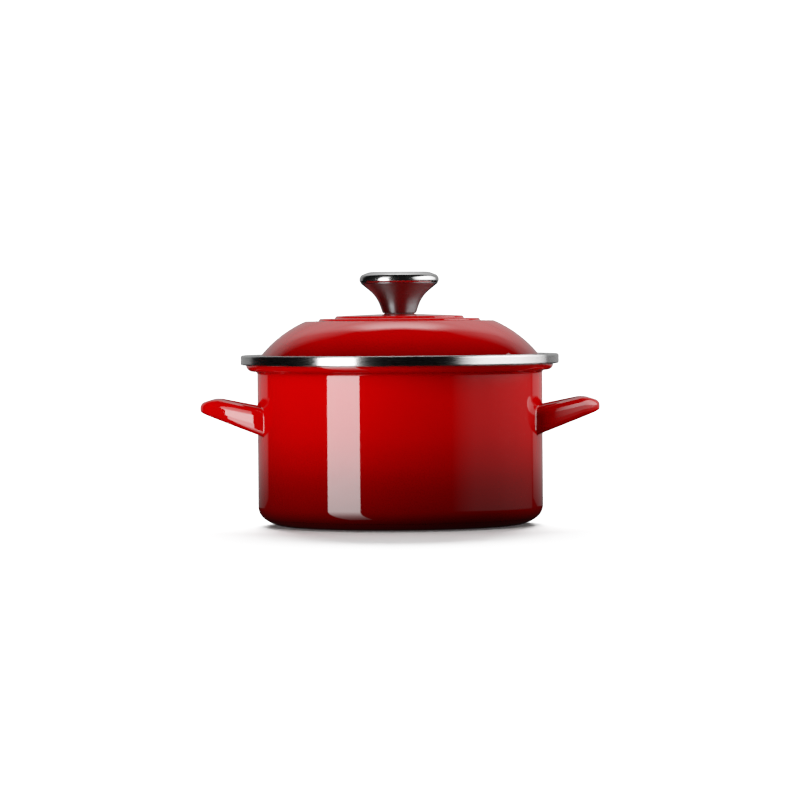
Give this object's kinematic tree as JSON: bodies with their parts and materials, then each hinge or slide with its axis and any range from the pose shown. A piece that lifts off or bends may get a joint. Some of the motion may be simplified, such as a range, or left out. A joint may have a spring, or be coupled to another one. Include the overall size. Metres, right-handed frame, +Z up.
{
  "type": "stock pot",
  "caption": "Round enamelled-steel stock pot with loop side handles, a stainless rim band and a stepped domed lid with a flared metal knob.",
  "frame": {"origin": "middle of the flat base, on the surface the pot stands on", "axes": "+Z up along the pot's axis, +X through the right-hand handle, the front faces -Y"},
  "size_m": [0.2872, 0.2288, 0.182],
  "materials": {
    "red_enamel": "glossy vitreous enamel, cherry red shading to dark red at the foot",
    "polished_stainless": "polished stainless steel",
    "satin_stainless": "satin",
    "plain_steel": "plain",
    "black_silicone": "matt"
  },
  "bodies": {
    "pot": {"pot_shell": "red_enamel", "pot_rim_band": "polished_stainless", "handle_left": "red_enamel", "handle_right": "red_enamel"},
    "lid": {"lid_shell": "red_enamel", "lid_rim_ring": "polished_stainless", "knob_cap": "polished_stainless", "knob_stem": "satin_stainless", "knob_boss": "plain_steel", "knob_gasket": "black_silicone", "screw_washer": "plain_steel", "knob_screw": "plain_steel"}
  },
  "joints": [
    {"name": "lid_lift", "type": "slide", "parent": "pot", "child": "lid", "axis": [0, 0, 1], "range_m": [0, 0.15]}
  ]
}
